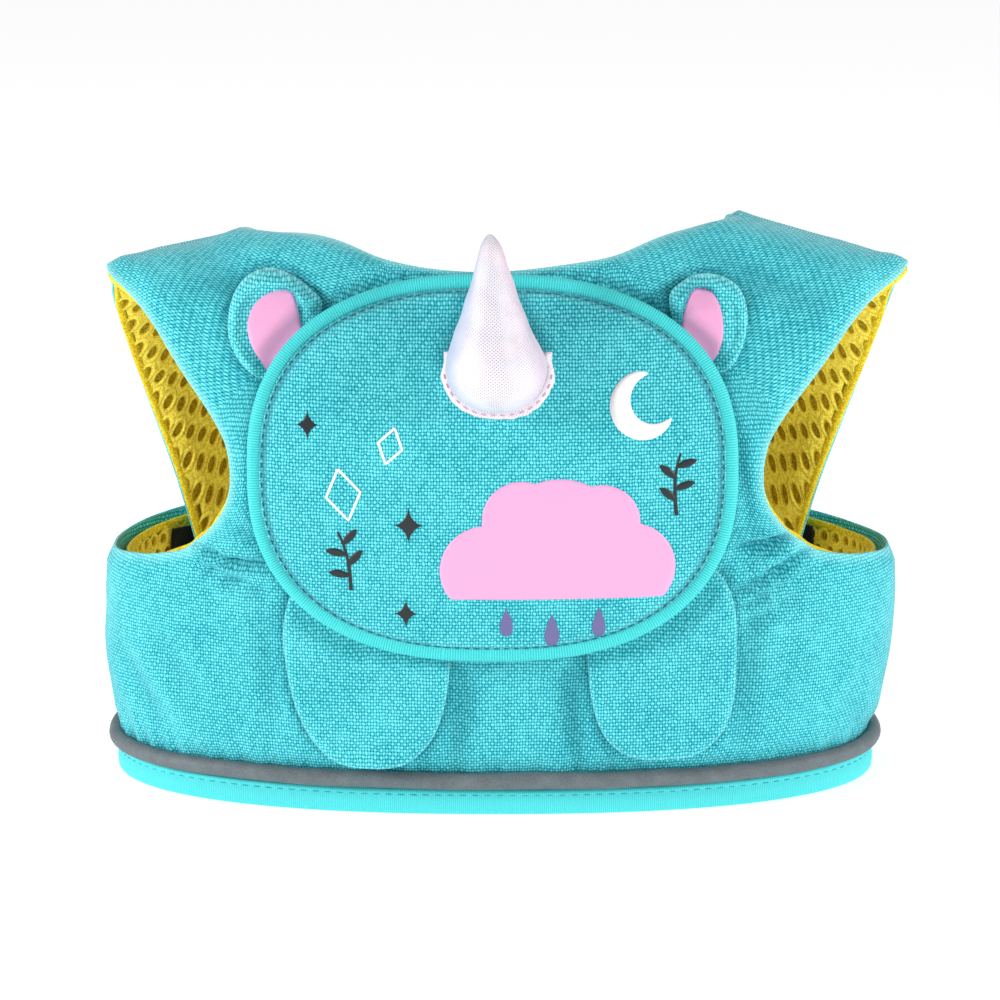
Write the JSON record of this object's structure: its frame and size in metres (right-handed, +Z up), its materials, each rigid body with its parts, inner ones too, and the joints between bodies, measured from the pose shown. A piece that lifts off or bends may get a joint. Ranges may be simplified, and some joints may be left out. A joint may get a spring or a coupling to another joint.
{
  "type": "toddler harness vest",
  "caption": "Padded toddler harness vest with a mesh lining, wide shoulder straps, a bound hem with reflective piping and a piped flap with a stuffed horn, ears and legs.",
  "frame": {"origin": "on the surface that the hem stands on, under the middle of the bounding box", "axes": "+X to the right seen from the front, +Y from the bib to the back, +Z up"},
  "size_m": [0.2578, 0.152, 0.1852],
  "materials": {
    "cover": "two-tone plain weave, padded",
    "lining": "hexagonal spacer mesh",
    "binding": "ribbed binding tape",
    "reflective": "reflective piping",
    "satin": "pearl satin",
    "pink": "printed satin",
    "webbing": "woven webbing",
    "plastic": "moulded, fine texture"
  },
  "bodies": {
    "root": {"cover": "cover", "mesh_lining": "lining", "hem_binding": "binding", "reflective_piping": "reflective", "flap": "cover", "flap_binding": "binding", "horn": "satin", "horn_hem": "satin", "ear_left": "cover", "ear_right": "cover", "ear_inner_left": "pink", "ear_inner_right": "pink", "leg_left": "cover", "leg_right": "cover", "webbing_left": "webbing", "webbing_right": "webbing", "buckle": "plastic"}
  },
  "joints": []
}
